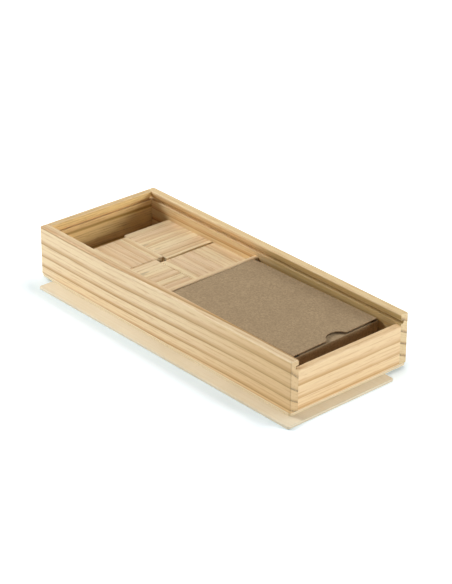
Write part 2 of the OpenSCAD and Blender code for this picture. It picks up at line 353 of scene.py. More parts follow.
def pine(name, pale, blush, band, line, ring_step, first_ring, climb=0.0, slant=0.5, wave=1.0,
         crowding=0.0, strength=0.9, fade=0.32, line_share=0.5, seed=0.0, tint=None, carton_shade=None,
         smudge=0.0, inner=None, warm=None):
    """Solid pine. Growth rings run through it, sharp on their lower side and blushing above,
    between streaks, flecks, resin lines and fibres. Cut ends are duller, with dark strokes.
    A tint differs from piece to piece. Towards one end a board may be warmer below its rim, or
    darker there as painted shade, and its faces into the box may take painted light and shade."""
    wood = Finish(name)
    grain = wood.attribute("grain", "Vector")
    end = wood.attribute("end_grain", "Fac")
    shifted = wood.add("ShaderNodeVectorMath", {0: grain, 1: (seed, 0.0, 0.0)}, operation="ADD")
    along, up, height, step = growth_height(
        wood, grain, shifted, ring_step, first_ring, climb, slant, wave, crowding)
    below_rim = wood.fall(up, RIM_START, RIM_END)
    spot = wood.math("FRACT", step)
    vigour = ring_vigour(wood, along, step, strength, seed)
    lower_side = wood.rise(spot, RING_ONSET, 1.0)
    late = wood.either(wood.fall(spot, 0.0, fade), lower_side)
    edge = wood.either(wood.fall(spot, 0.0, RING_EDGE), lower_side)
    fine_spot = wood.math("PINGPONG", wood.math("DIVIDE", height, FINE_RING), 0.5)

    streaks = wood.noise(shifted, STREAK_STRETCH, 3.0, 0.6)
    flecks = wood.noise(shifted, FLECK_STRETCH, 2.0, 0.6)
    fibres = wood.noise(grain, FIBRE_STRETCH, 2.0, 0.6)
    dashes = wood.noise(shifted, DASH_STRETCH, 1.0)
    fine = wood.times(wood.fall(fine_spot, 0.0, 0.3, 0.5), wood.rise(flecks, 0.38, 0.62))
    stroke = wood.times(wood.fall(spot, 0.0, CUT_STROKE), wood.ramp(flecks, 0.3, 0.6, 0.2, 0.85))

    colour = ground_colour(wood, pale, blush, tint, inner, shifted, spot, streaks, flecks)
    if warm:
        warmth = wood.times(wood.rise(along, WARM_START, WARM_END, 0.6), below_rim)
        colour = wood.blend(warmth, colour, warm)
    colour = wood.blend(fine, colour, band)
    colour = wood.blend(wood.times(late, vigour), colour, band)
    colour = wood.blend(wood.times(wood.times(edge, vigour), line_share), colour, line)
    colour = wood.blend(wood.rise(dashes, 0.64, 0.78, 0.5), colour, band)
    colour = wood.blend(wood.rise(fibres, 0.35, 0.8, 0.2), colour, band)
    # Painted shade: the faces below the rim darken in streaks over the carton half
    if carton_shade:
        on_face = wood.less(below_rim, end)
        streaky = wood.ramp(streaks, 0.2, 0.6, 0.6, 1.0)
        dark = wood.times(wood.rise(along, CARTON_SHADE_START, CARTON_SHADE_END, 0.7), streaky)
        colour = wood.blend(wood.times(dark, on_face), colour, carton_shade)
    if smudge:
        stain = wood.noise(shifted, SMUDGE_STRETCH, 2.0)
        colour = wood.blend(wood.rise(stain, 0.64, 0.76, smudge), colour, SMUDGE)
    colour = wood.blend(wood.times(end, 0.3), colour, END_GRAIN)
    colour = wood.blend(wood.times(stroke, end), colour, END_STROKE)
    roughness = wood.ramp(fibres, 0.2, 0.8, 0.42, 0.6)
    relief = wood.total((fibres, 0.5), (late, -0.3), (dashes, 0.2))
    return wood.finish(colour, roughness, relief, GRAIN_RELIEF)


LENGTHWAYS_STRETCH = (0.03, 1.4, 1.0)
CROSSWAYS_STRETCH = (2.2, 0.25, 1.0)
CLOUD_STRETCH = (0.02, 0.05, 0.05)


def plain_sheet(name, face, streak, core, top=None):
    """A thin sheet of ply: faint crossing grain on its faces and a darker core at its edge.
    Its top face may take a darker brown, which is painted shade."""
    ply = Finish(name)
    grain = ply.attribute("grain", "Vector")
    lengthways = ply.noise(grain, LENGTHWAYS_STRETCH, 3.0, 0.6)
    crossways = ply.noise(grain, CROSSWAYS_STRETCH, 2.0, 0.6)
    clouds = ply.noise(grain, CLOUD_STRETCH, 1.0)
    edge = ply.attribute("edge", "Fac")
    layer = ply.attribute("layer", "Fac")
    colour = ply.blend(ply.rise(lengthways, 0.45, 0.75, 0.5), face, streak)
    colour = ply.blend(ply.rise(crossways, 0.5, 0.8, 0.25), colour, streak)
    colour = ply.blend(ply.rise(clouds, 0.35, 0.7, 0.35), colour, streak)
    middle = ply.times(ply.fall(ply.math("ABSOLUTE", layer), 0.28, 0.36), edge)
    colour = ply.blend(ply.times(middle, 0.35), colour, core)
    # Painted shade on the upper face
    if top:
        upper_face = ply.times(ply.rise(layer, 0.9, 1.0), ply.rest(edge))
        colour = ply.blend(upper_face, colour, top)
    roughness = ply.ramp(crossways, 0.2, 0.8, 0.5, 0.68)
    relief = ply.total((lengthways, 0.6), (crossways, 0.4))
    return ply.finish(colour, roughness, relief, PLY_RELIEF)


def kraft_board(name):
    """Brown card board: fibres that cross at all angles over a mottled ground."""
    card = Finish(name)
    place = card.object_place()
    ground = card.noise(place, (0.09, 0.09, 0.09), 2.0)
    mottle = card.noise(place, (1.1, 1.1, 1.1), 3.0, 0.65)
    fibres = 0.0
    for angle in (10, 70, 130):
        turned = card.add("ShaderNodeMapping", {
            "Vector": place, "Rotation": (0.3, 0.2, math.radians(angle)), "Scale": (0.7, 4.0, 4.0)})
        fibres = card.either(fibres, card.noise(turned, detail=1.0))
    colour = card.blend(card.rise(mottle, 0.3, 0.72), tone(154, 130, 97), tone(186, 160, 124))
    colour = card.blend(card.rise(ground, 0.35, 0.7, 0.25), colour, tone(154, 130, 98))
    colour = card.blend(card.rise(fibres, 0.62, 0.76, 0.35), colour, tone(190, 166, 130))
    roughness = card.ramp(mottle, 0.2, 0.8, 0.72, 0.9)
    relief = card.total((mottle, 0.6), (fibres, 0.5))
    return card.finish(colour, roughness, relief, 0.05)


def pip_paint():
    """Dark brown paint meant for the drilled pips."""
    paint = Finish("pip_paint")
    speckle = paint.noise(paint.object_place(), (2.5, 2.5, 2.5), 2.0)
    colour = paint.blend(speckle, tone(46, 34, 26), tone(70, 52, 38))
    return paint.finish(colour, paint.ramp(speckle, 0.2, 0.8, 0.4, 0.6), speckle, 0.03)


def card_stock():
    """White coated card, faintly clouded in colour, roughness and relief."""
    card = Finish("card_stock")
    cloud = card.noise(card.object_place(), (0.6, 0.6, 4.0), 3.0)
    colour = card.blend(cloud, tone(236, 233, 224), tone(248, 246, 240))
    return card.finish(colour, card.ramp(cloud, 0.2, 0.8, 0.35, 0.5), cloud, 0.02)


# -------- building pieces

def new_piece(name, bm, *materials):
    """An object at the origin from a bmesh drawn in millimetres."""
    bmesh.ops.scale(bm, vec=(MM, MM, MM), verts=bm.verts)
    bmesh.ops.recalc_face_normals(bm, faces=bm.faces)
    mesh = bpy.data.meshes.new(name)
    bm.to_mesh(mesh)
    bm.free()
    for material in materials:
        mesh.materials.append(material)
    piece = bpy.data.objects.new(name, mesh)
    bpy.context.scene.collection.objects.link(piece)
    return piece


def settle(piece):
    """Turns what the modifiers make into the piece's own mesh."""
    bpy.context.view_layer.update()
    shaped = piece.evaluated_get(bpy.context.evaluated_depsgraph_get())
    mesh = bpy.data.meshes.new_from_object(shaped)
    piece.modifiers.clear()
    piece.data = mesh


def smooth(piece, angle=28):
    """Smooth roundings between flat faces."""
    piece.data.shade_smooth()
    piece.data.set_sharp_from_angle(angle=math.radians(angle))
    weights = piece.modifiers.new("flat_faces", "WEIGHTED_NORMAL")
    weights.keep_sharp = True
    settle(piece)


def bevel_edges(piece, segments):
    """Rounds each edge to its weight, where a weight of 1 is CORNER wide."""
    bevel = piece.modifiers.new("rounding", "BEVEL")
    bevel.limit_method = "WEIGHT"
    bevel.width = CORNER * MM
    bevel.segments = segments


def round_edges(piece, segments=4):
    bevel_edges(piece, segments)
    settle(piece)
    smooth(piece)


def weigh_edges(bm, radius_of, layer_name="bevel_weight_edge"):
    """Stores the rounding of each edge, which radius_of gives from its middle and direction."""
    layer = bm.edges.layers.float.new(layer_name)
    for edge in bm.edges:
        start, end = (vertex.co for vertex in edge.verts)
        edge[layer] = radius_of((start + end) / 2, (end - start).normalized()) / CORNER


def extruded(outline, start, end, turn):
    """A prism: an outline of points, run from start to end, its points turned into place."""
    bm = bmesh.new()
    rings = [[bm.verts.new(turn(along, *point)) for point in outline] for along in (start, end)]
    for i in range(len(outline)):
        j = (i + 1) % len(outline)
        bm.faces.new((rings[0][i], rings[0][j], rings[1][j], rings[1][i]))
    bm.faces.new(rings[0])
    bm.faces.new(rings[1])
    return bm


FACING = 0.75          # how well a face's normal fits the direction it is said to face
PARALLEL = 0.9         # the same for an edge
SAME_PLACE = 0.01      # millimetres


def mark_faces(mesh, name, test):
    """Stores 1 on the faces whose normal passes a test, and 0 on the others."""
    marks = mesh.attributes.new(name, "FLOAT", "FACE")
    for face, value in zip(mesh.polygons, marks.data):
        value.value = 1.0 if test(face.normal) else 0.0


def lay_grain(piece, runs_along, offset=(0, 0, 0), inward=(0, 0, 0)):
    """Gives each point its place in its plank, in millimetres: along the grain, across the
    thickness and up. Marks the faces of end grain, and those that face into the box."""
    mesh = piece.data
    grain = mesh.attributes.new("grain", "FLOAT_VECTOR", "POINT")
    for vertex, value in zip(mesh.vertices, grain.data):
        x, y, z = vertex.co / MM
        turned = (x, y, z) if runs_along == "X" else (y, -x, z)
        value.vector = Vector(turned) + Vector(offset)
    axis = "XY".index(runs_along)
    mark_faces(mesh, "end_grain", lambda normal: abs(normal[axis]) > FACING)
    mark_faces(mesh, "inside", lambda normal: normal.dot(Vector(inward)) > FACING)


def node_box(node):
    """The lowest and highest corners of a CAD node, in millimetres."""
    low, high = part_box(node)
    return low / MM, high / MM


def stand_in(piece, node, body):
    """The piece takes a CAD node's place and moves with its body."""
    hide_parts(node)
    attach(piece, body)


# -------- the boards

def grooved_outline(outer, inner, low, high):
    """Section of a wall with the lid groove in its inner face, as (across, up) points."""
    into = math.copysign(GROOVE_DEPTH, inner - outer)
    groove_top = high - LIP
    groove_floor = groove_top - GROOVE_HEIGHT
    return [(outer, low), (inner, low), (inner, groove_floor), (inner - into, groove_floor),
            (inner - into, groove_top), (inner, groove_top), (inner, high), (outer, high)]


def wall_rounding(middle, low, high):
    """Rounding of a wall's edge: at the rim, above the bottom panel, or anywhere else."""
    if middle.z > high.z - SAME_PLACE:
        return ARRIS
    return SEAM if middle.z < low.z + SAME_PLACE else SANDED


def long_wall(name, node, outer, inner, material):
    """A long wall: rounded along the rim, at its ends and at the upright outer corners."""
    low, high = node_box(node)
    bm = extruded(grooved_outline(outer, inner, low.z, high.z), low.x, high.x,
                  lambda along, across, up: (along, across, up))

    def radius_of(middle, direction):
        if abs(direction.z) > PARALLEL and abs(middle.y - outer) < SAME_PLACE:
            return UPRIGHT
        return wall_rounding(middle, low, high)
    weigh_edges(bm, radius_of)
    piece = new_piece(name, bm, material)
    round_edges(piece)
    lay_grain(piece, "X", (0, abs(outer), 0), (0, math.copysign(1, -outer), 0))
    stand_in(piece, node, "box")


def cross_board(name, node, outline, material, inward=(0, 0, 0)):
    """A board across the box, rounded along its top."""
    low, high = node_box(node)
    bm = extruded(outline, low.y, high.y, lambda along, across, up: (across, along, up))

    def radius_of(middle, direction):
        return wall_rounding(middle, low, high) if abs(direction.y) > PARALLEL else 0.0
    weigh_edges(bm, radius_of)
    piece = new_piece(name, bm, material)
    round_edges(piece)
    lay_grain(piece, "Y", inward=inward)
    stand_in(piece, node, "box")


def plain_outline(node):
    low, high = node_box(node)
    return [(low.x, low.z), (high.x, low.z), (high.x, high.z), (low.x, high.z)]


def make_front_board():
    low, high = node_box("front_wall")
    # Its faces into the box carry painted shade.
    wood = pine(
        "pine_front", pale=tone(247, 222, 179), blush=tone(238, 202, 162), band=tone(202, 158, 100),
        line=tone(156, 116, 58), ring_step=4.65, first_ring=2.2, climb=2.3, wave=0.35,
        crowding=0.01, fade=0.4, strength=1.0, inner=INNER_SHADE, warm=tone(226, 182, 116))
    long_wall("front_board", "front_wall", low.y, high.y, wood)


def make_back_board():
    low, high = node_box("back_wall")
    # Painted shade darkens its faces below the rim over the carton half.
    wood = pine(
        "pine_back", pale=tone(248, 222, 172), blush=tone(238, 200, 144), band=tone(214, 166, 100),
        line=tone(150, 104, 52), ring_step=6.6, first_ring=4.2, climb=0.6, wave=0.4, seed=310.0,
        carton_shade=tone(190, 162, 98))
    long_wall("back_board", "back_wall", high.y, low.y, wood)


def make_closed_end():
    low, high = node_box("closed_end_wall")
    # Its face into the box is brighter and more orange: painted bounce light.
    wood = pine(
        "pine_closed_end", pale=tone(238, 208, 160), blush=tone(234, 194, 136),
        band=tone(184, 142, 64), line=tone(150, 108, 40), ring_step=12.8, first_ring=4.9,
        fade=0.15, strength=1.0, wave=0.5, seed=120.0, inner=tone(255, 220, 150))
    cross_board("closed_end_board", "closed_end_wall",
                grooved_outline(low.x, high.x, low.z, high.z), wood, (1, 0, 0))


def make_entry_end():
    # Its face into the box carries painted shade.
    wood = pine(
        "pine_entry", pale=tone(252, 221, 174), blush=tone(246, 208, 160), band=tone(216, 170, 112),
        line=tone(194, 146, 86), ring_step=4.7, first_ring=3.35, crowding=0.0127, strength=1.0,
        fade=0.36, line_share=0.3, wave=0.3, seed=40.0, slant=0.1, inner=INNER_SHADE)
    cross_board("entry_end_board", "entry_end_wall", plain_outline("entry_end_wall"), wood,
                (-1, 0, 0))


def make_divider():
    wood = pine(
        "pine_divider", pale=tone(242, 220, 180), blush=tone(236, 206, 164),
        band=tone(220, 184, 132), line=tone(190, 148, 94), ring_step=5.0, first_ring=1.0,
        strength=0.5, seed=77.0)
    cross_board("divider_board", "divider", plain_outline("divider"), wood)


def rounded_outline(length, width, radius, segments=6):
    """A rectangle about the origin with round corners, as points anticlockwise."""
    points = []
    for quarter in range(4):
        side_x = 1 if quarter in (0, 3) else -1
        side_y = 1 if quarter in (0, 1) else -1
        centre = (side_x * (length / 2 - radius), side_y * (width / 2 - radius))
        for k in range(segments + 1):
            angle = math.radians(90 * (quarter + k / segments))
            points.append((centre[0] + radius * math.cos(angle),
                           centre[1] + radius * math.sin(angle)))
    return points


def thin_sheet(name, node, body, outline, turn, material):
    """A thin sheet cut to an outline, turned about the vertical, its edges eased."""
    low, high = node_box(node)
    spin = Matrix.Rotation(turn, 3, "Z")
    middle = (low + high) / 2

    def place(up, x, y):
        turned = spin @ Vector((x, y, 0))
        return turned.x + middle.x, turned.y + middle.y, up
    bm = extruded(outline, low.z, high.z, place)
    weigh_edges(bm, lambda spot, direction: SHEET_EDGE if abs(direction.z) < 0.1 else 0.0)
    piece = new_piece(name, bm, material)
    round_edges(piece, 2)
    lay_grain(piece, "X")
    mesh = piece.data
    mark_faces(mesh, "edge", lambda normal: abs(normal.z) < 0.5)
    layer = mesh.attributes.new("layer", "FLOAT", "POINT")
    for vertex, value in zip(mesh.vertices, layer.data):
        value.value = (vertex.co.z / MM - middle.z) / (high.z - low.z) * 2
    stand_in(piece, node, body)


# Painted shade: the top of the bottom panel, the floor of the two rooms, is darkened to deepen the
# recesses
FLOOR_SHADE = tone(146, 116, 76)    # the floor of the two rooms, hardly seen
LID_TURN = math.radians(0.5)
LID_PLAY = 0.4         # what the lid's length and its two sides are short of the grooves
LID_SIDE_PLAY = 0.3


def lid_size():
    """Length and width of the lid, from the grooves that it runs in."""
    front, back = node_box("front_wall"), node_box("back_wall")
    closed = node_box("closed_end_wall")
    length = front[1].x - closed[1].x + GROOVE_DEPTH - LID_PLAY
    width = back[0].y - front[1].y + 2 * (GROOVE_DEPTH - LID_SIDE_PLAY)
    return length, width


SHEET_CORE = tone(204, 172, 130)


def make_lid():
    ply = plain_sheet("lid_ply", tone(238, 226, 200), tone(226, 208, 172), SHEET_CORE)
    thin_sheet("lid_sheet", "sliding_lid", "lid", rounded_outline(*lid_size(), LID_CORNER),
               LID_TURN, ply)


def make_bottom():
    ply = plain_sheet("panel_ply", tone(250, 234, 200), tone(240, 220, 180), SHEET_CORE,
                      FLOOR_SHADE)
    low, high = node_box("bottom_panel")
    outline = rounded_outline(high.x - low.x, high.y - low.y, PANEL_CORNER)
    thin_sheet("bottom_sheet", "bottom_panel", "box", outline, 0.0, ply)


# -------- the tiles

class Shaping(Nodes):
    """A geometry tree with named inputs, while its nodes are being laid out."""

    def __init__(self, name, whole_numbers, lengths):
        super().__init__(bpy.data.node_groups.new(name, "GeometryNodeTree"))
        self.socket("Geometry", "Geometry")
        for label in whole_numbers:
            self.socket(label, "Int")
        for label in lengths:
            self.socket(label, "Float")
        self.socket("Geometry", "Geometry", "OUTPUT")
        self.given = self.nodes.new("NodeGroupInput").outputs

    def socket(self, label, kind, in_out="INPUT"):
        self.tree.interface.new_socket(
            label, in_out=in_out, socket_type="NodeSocket" + kind)

    def step(self, kind, inputs, **settings):
        return self.add("GeometryNode" + kind, inputs, **settings)

    def both(self, first, second):
        return self.math("MINIMUM", first, second)

    def over(self, value, limit):
        return self.math("GREATER_THAN", value, limit)

    def under(self, value, limit):
        return self.math("LESS_THAN", value, limit)

    def vector(self, x, y, z):
        return self.add("ShaderNodeCombineXYZ", {0: x, 1: y, 2: z})

    def close(self, geometry):
        self.feed(self.nodes.new("NodeGroupOutput"), {0: geometry})
        return self.tree


# Known fault: these are in millimetres, but the tree works in metres. So a half with an odd
# number gets nine pips, one with an even number none, and nothing is painted.
OFF_CENTRE = 0.5       # a pip further out than this isn't in the middle row
SUNK = 0.02            # how deep a painted face lies
SCORE_OVERRUN = 2.0    # what the score's cutter is longer than the tile is wide
PAINT_ALONG = 0.46     # shares of the tile's length and width
PAINT_UP = 0.45


def chosen_spots(tree, spot, count):
    """Which places of a three by three grid carry a pip for a number."""
    off_x = tree.over(tree.math("ABSOLUTE", spot["X"]), OFF_CENTRE)
    off_y = tree.over(tree.math("ABSOLUTE", spot["Y"]), OFF_CENTRE)
    product = tree.times(spot["X"], spot["Y"])
    centre = tree.rest(tree.either(off_x, off_y))
    one_diagonal = tree.over(product, OFF_CENTRE)
    other_diagonal = tree.under(product, -OFF_CENTRE)
    between = tree.both(off_y, tree.rest(off_x))
    odd = tree.both(centre, tree.math("MODULO", count, 2.0))
    two = tree.both(one_diagonal, tree.over(count, 1.5))
    four = tree.both(other_diagonal, tree.over(count, 3.5))
    six = tree.both(between, tree.over(count, 5.5))
    return tree.either(odd, two, four, six)


def pip_balls(tree, spot, count, side, face):
    """The balls that dish one half of the tile's face."""
    depth = tree.given["Pip Depth"]
    half_pip = tree.times(tree.given["Pip Diameter"], 0.5)
    squares = tree.math("ADD", tree.times(half_pip, half_pip), tree.times(depth, depth))
    radius = tree.math("DIVIDE", squares, tree.times(depth, 2.0))
    ball = tree.step("MeshUVSphere", {"Segments": 16, "Rings": 20, "Radius": radius})
    spread = tree.times(tree.given["Pip Pitch"], 2.0)
    grid = tree.step("MeshGrid", {
        "Size X": spread, "Size Y": spread, "Vertices X": 3, "Vertices Y": 3})
    balls = tree.step("InstanceOnPoints", {
        "Points": grid, "Instance": ball, "Selection": chosen_spots(tree, spot, count)})
    middle = tree.times(tree.given["Tile Length"], side / 4)
    out = tree.less(tree.math("ADD", face, radius), depth)
    return tree.step("Transform", {
        "Geometry": balls, "Translation": tree.vector(middle, out, 0.0),
        "Rotation": (math.radians(90), 0.0, 0.0)})


def score_rod(tree, radius, face):
    """The rod that scores the line between the two halves."""
    length = tree.math("ADD", tree.given["Tile Width"], SCORE_OVERRUN)
    rod = tree.step("MeshCylinder", {"Vertices": 16, "Radius": radius, "Depth": length})
    return tree.step("Transform", {
        "Geometry": rod, "Translation": tree.vector(0.0, face, 0.0)})


def painted_faces(tree, spot, radius, face):
    """Which faces are meant to be painted: those sunk in the pips and the score."""
    from_middle = tree.math("ABSOLUTE", spot["X"])
    sunk = tree.both(tree.under(spot["Y"], tree.less(face, SUNK)), tree.over(spot["Y"], 0.0))
    far_along = tree.math("MULTIPLY_ADD", tree.given["Tile Length"], PAINT_ALONG)
    far_up = tree.math("MULTIPLY_ADD", tree.given["Tile Width"], PAINT_UP)
    inside_x = tree.under(from_middle, far_along)
    inside_z = tree.under(tree.math("ABSOLUTE", spot["Z"]), far_up)
    in_score = tree.under(from_middle, tree.math("ADD", radius, SUNK))
    return tree.both(sunk, tree.either(tree.both(inside_x, inside_z), in_score))


def drilling_tree(wood, paint):
    """Geometry nodes that drill a tile's face at +Y: pip dishes (by the fault above, nine on an
    odd half, none on an even one) and a half-round line scored between them."""
    tree = Shaping("tile_drilling", ("Left Pips", "Right Pips"), (
        "Tile Length", "Tile Width", "Tile Thickness", "Pip Pitch", "Pip Diameter", "Pip Depth",
        "Score Width"))
    given = tree.given
    spot = tree.parts(tree.step("InputPosition", {}))
    face = tree.times(given["Tile Thickness"], 0.5)
    score_radius = tree.times(given["Score Width"], 0.5)
    left = pip_balls(tree, spot, given["Left Pips"], -1, face)
    right = pip_balls(tree, spot, given["Right Pips"], 1, face)
    joined = tree.step("JoinGeometry", {
        "Geometry": [left, right, score_rod(tree, score_radius, face)]})
    cutters = tree.step("RealizeInstances", {"Geometry": joined})
    drilled = tree.step("MeshBoolean", {"Mesh 1": given["Geometry"], "Mesh 2": cutters},
                        operation="DIFFERENCE", solver="EXACT")
    whole = tree.step("RealizeInstances", {"Geometry": drilled})
    wooden = tree.step("SetMaterial", {"Geometry": whole, "Material": wood})
    painted = painted_faces(tree, spot, score_radius, face)
    return tree.close(tree.step("SetMaterial", {
        "Geometry": wooden, "Selection": painted, "Material": paint}))


def run_tree(piece, tree, counts, lengths):
    """Shapes a piece with a geometry tree. The lengths are given in millimetres."""
    modifier = piece.modifiers.new(tree.name, "NODES")
    modifier.node_group = tree
    values = dict(counts)
    for name, length in lengths.items():
        values[name] = length * MM
    for socket in tree.interface.items_tree:
        if socket.in_out == "INPUT" and socket.name in values:
            modifier[socket.identifier] = values[socket.name]
    settle(piece)


def tile_blank(name, length, width, thickness):
    """A bare tile about the origin, its face at +Y, with round corners and eased edges."""
    bm = extruded(rounded_outline(length, width, TILE_CORNER, 4), -thickness / 2, thickness / 2,
                  lambda through, x, z: (x, through, z))

    def radius_of(middle, direction):
        if abs(direction.y) > 0.1:
            return 0.0
        return TILE_END_EDGE if abs(middle.x) > length / 2 - TILE_CORNER else TILE_EDGE
    weigh_edges(bm, radius_of)
    piece = new_piece(name, bm)
    bevel_edges(piece, 3)
    return piece


def make_tile(low_pips, high_pips, drilling, draw):
    """One tile, drilled, where its CAD node stands."""
    node = f"tile_{low_pips}_{high_pips}"
    low, high = node_box(node)
    runs_along = "X" if high.x - low.x > high.y - low.y else "Y"
    length = max(high.x - low.x, high.y - low.y)
    thickness = min(high.x - low.x, high.y - low.y)
    piece = tile_blank(f"domino_{low_pips}_{high_pips}", length, high.z - low.z, thickness)
    run_tree(piece, drilling, {"Left Pips": low_pips, "Right Pips": high_pips}, {
        "Tile Length": length, "Tile Width": high.z - low.z, "Tile Thickness": thickness,
        "Pip Pitch": PIP_PITCH, "Pip Diameter": PIP_DIAMETER, "Pip Depth": PIP_DEPTH,
        "Score Width": SCORE_WIDTH})
    smooth(piece)
    turn = Matrix.Rotation(math.radians(0 if runs_along == "X" else 90), 4, "Z")
    piece.data.transform(Matrix.Translation((low + high) / 2 * MM) @ turn)
    place_in_plank = (draw.uniform(300, 3000), draw.uniform(-40, 40), draw.uniform(-40, 40))
    lay_grain(piece, runs_along, place_in_plank)
    stand_in(piece, node, node)


def make_tiles():
    """The double-six set."""
    wood = pine(
        "tile_wood", pale=tone(248, 228, 186), blush=tone(238, 206, 168), band=tone(208, 168, 112),
        line=tone(172, 132, 80), ring_step=4.3, first_ring=0.0, strength=0.55, fade=0.5, wave=1.4,
        line_share=0.3, tint=tone(238, 208, 174), smudge=0.5)
    drilling = drilling_tree(wood, pip_paint())
    draw = random.Random(TILE_SEED)
    for low_pips in range(DOUBLE + 1):
        for high_pips in range(low_pips, DOUBLE + 1):
            make_tile(low_pips, high_pips, drilling, draw)


# -------- the card carton

PANEL_LENGTH = CARTON_LENGTH - BOARD - FOLD_GAP
HINGE_ALONG = CARTON_LENGTH - BOARD / 2
HINGE_UP = BOARD / 2 + FOLD_GAP
FOLD_UP = CARTON_HEIGHT - CLOSURE_DROP - BOARD / 2
DECK_HEIGHT = FOLD_UP - BOARD / 2 - DECK_HEADROOM - BOARD


def carton_place():
    """The matrix that carries the carton's own frame into the row's, from its lower fold."""
    fold = next(joint for joint in frame["joints"] if joint["name"] == "closure_fold")
    across = Vector(fold["axis"]).normalized()
    along = across.cross(UP)
    hinge = Vector(fold["pos_m"]) / MM
    origin = hinge - along * HINGE_ALONG - UP * HINGE_UP
    turn = Matrix((along, across, UP)).transposed()
    return Matrix.Translation(origin) @ turn.to_4x4()


def notch_edge():
    """The top panel's free edge from its back corner to its front one, as (across, along):
    straight, then over a small lip into the round notch."""
    sink = NOTCH_RADIUS - NOTCH_DEPTH
    half_chord = math.sqrt(NOTCH_RADIUS ** 2 - sink ** 2)
    wide = CARTON_WIDTH / 2 - CREASE
    half = []
    for k in range(EDGE_STEPS + 1):
        half.append((wide + (half_chord + NOTCH_LIP - wide) * k / EDGE_STEPS, PANEL_LENGTH))
    steep = math.asin(half_chord / NOTCH_RADIUS)
    for k in range(NOTCH_STEPS + 1):
        angle = steep * (1 - k / NOTCH_STEPS)
        across = NOTCH_RADIUS * math.sin(angle)
        along = PANEL_LENGTH + sink - NOTCH_RADIUS * math.cos(angle)
        if k == 0:
            across -= NOTCH_LIP * LIP_INWARD
            along -= NOTCH_LIP * LIP_BACK
        half.append((across, along))
    return half + [(-across, along) for across, along in reversed(half[:-1])]


def carton_ring():
    """The sleeve's section as (across, up, end) points: how far along each one runs."""
    half, top = CARTON_WIDTH / 2, CARTON_HEIGHT
    ring = [(across, top, end) for across, end in notch_edge()]

    def corner(across, up, first):
        for k in range(1, CREASE_STEPS):
            angle = math.radians(first + 90 * k / CREASE_STEPS)
            yield across + CREASE * math.cos(angle), up + CREASE * math.sin(angle), PANEL_LENGTH
    ring += corner(-half + CREASE, top - CREASE, 90)
    ring += [(-half, top - CREASE, PANEL_LENGTH), (-half, CREASE, PANEL_LENGTH)]
    ring += corner(-half + CREASE, CREASE, 180)
    ring += [(-half + CREASE, 0, PANEL_LENGTH), (half - CREASE, 0, PANEL_LENGTH)]
    ring += corner(half - CREASE, CREASE, 270)
    ring += [(half, CREASE, PANEL_LENGTH), (half, top - CREASE, PANEL_LENGTH)]
    ring += corner(half - CREASE, top - CREASE, 0)
    return ring


def make_sleeve(kraft, place):
    """The folded sleeve: a thin tube, shut at its far end, its top panel slightly full."""
    ring = carton_ring()
    straight = PANEL_LENGTH - NOTCH_DEPTH - STRAIGHT_MARGIN
    bm = bmesh.new()
    rows = []
    for k in range(STATIONS + 1):
        row = []
        for across, up, end in ring:
            along = straight * k / (STATIONS - 1) if k < STATIONS else end
            wave = math.sin(math.pi * along / PANEL_LENGTH * BULGE_REACH)
            belly = (1 - (2 * across / CARTON_WIDTH) ** 2) * wave
            if up == CARTON_HEIGHT:
                up += BULGE * belly
            row.append(bm.verts.new((along, across, up)))
        rows.append(row)
    for first, second in zip(rows, rows[1:]):
        for i in range(len(ring)):
            j = (i + 1) % len(ring)
            bm.faces.new((first[i], first[j], second[j], second[i]))
    bm.faces.new(rows[0])
    bmesh.ops.transform(bm, matrix=place, verts=bm.verts)
    piece = new_piece("carton_tube", bm, kraft)
    wall = piece.modifiers.new("board", "SOLIDIFY")
    wall.thickness = BOARD * MM
    wall.offset = -1
    wall.use_even_offset = True
    settle(piece)
    smooth(piece, 35)
    stand_in(piece, "carton_sleeve", "carton")


def card_sheet(name, outline, turn, place, kraft):
    """A flat panel of card board with slightly eased edges, drawn in the carton's frame."""
    bm = extruded(outline, -BOARD / 2, BOARD / 2, turn)
    weigh_edges(bm, lambda spot, direction: BOARD * BOARD_EASE)
    bmesh.ops.transform(bm, matrix=place, verts=bm.verts)
    piece = new_piece(name, bm, kraft)
    round_edges(piece, 2)
    return piece


def make_dust_flaps(kraft, place):
    """The two flaps folded in from the side walls, behind the closure."""
    top = DECK_HEIGHT - FOLD_GAP + BOARD
    low = BOARD + FOLD_GAP
    root = CARTON_WIDTH / 2 - BOARD / 2
    tip = root - FLAP_REACH
    middle = PANEL_LENGTH - BOARD / 2
    for name, side in (("back_dust_flap", 1), ("front_dust_flap", -1)):
        outline = [(side * root, low), (side * tip, low), (side * tip, top - FLAP_BEVEL),
                   (side * (tip + FLAP_BEVEL), top), (side * root, top)]
        piece = card_sheet(name, outline, lambda through, across, up: (
            middle + through, across, up), place, kraft)
        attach(piece, "carton")


def make_closure(kraft, place):
    """The end panel, round along its two folds."""
    half = CARTON_WIDTH / 2 - BOARD
    round_end = BOARD / 2
    section = []
    for centre, first in ((FOLD_UP, 0), (HINGE_UP, 180)):
        for k in range(FOLD_STEPS + 1):
            angle = math.radians(first + 180 * k / FOLD_STEPS)
            section.append((HINGE_ALONG + round_end * math.cos(angle),
                            centre + round_end * math.sin(angle)))
    bm = extruded(section, -half, half, lambda across, along, up: (along, across, up))
    bmesh.ops.transform(bm, matrix=place, verts=bm.verts)
    piece = new_piece("carton_end_panel", bm, kraft)
    smooth(piece, 40)
    stand_in(piece, "carton_closure", "closure")


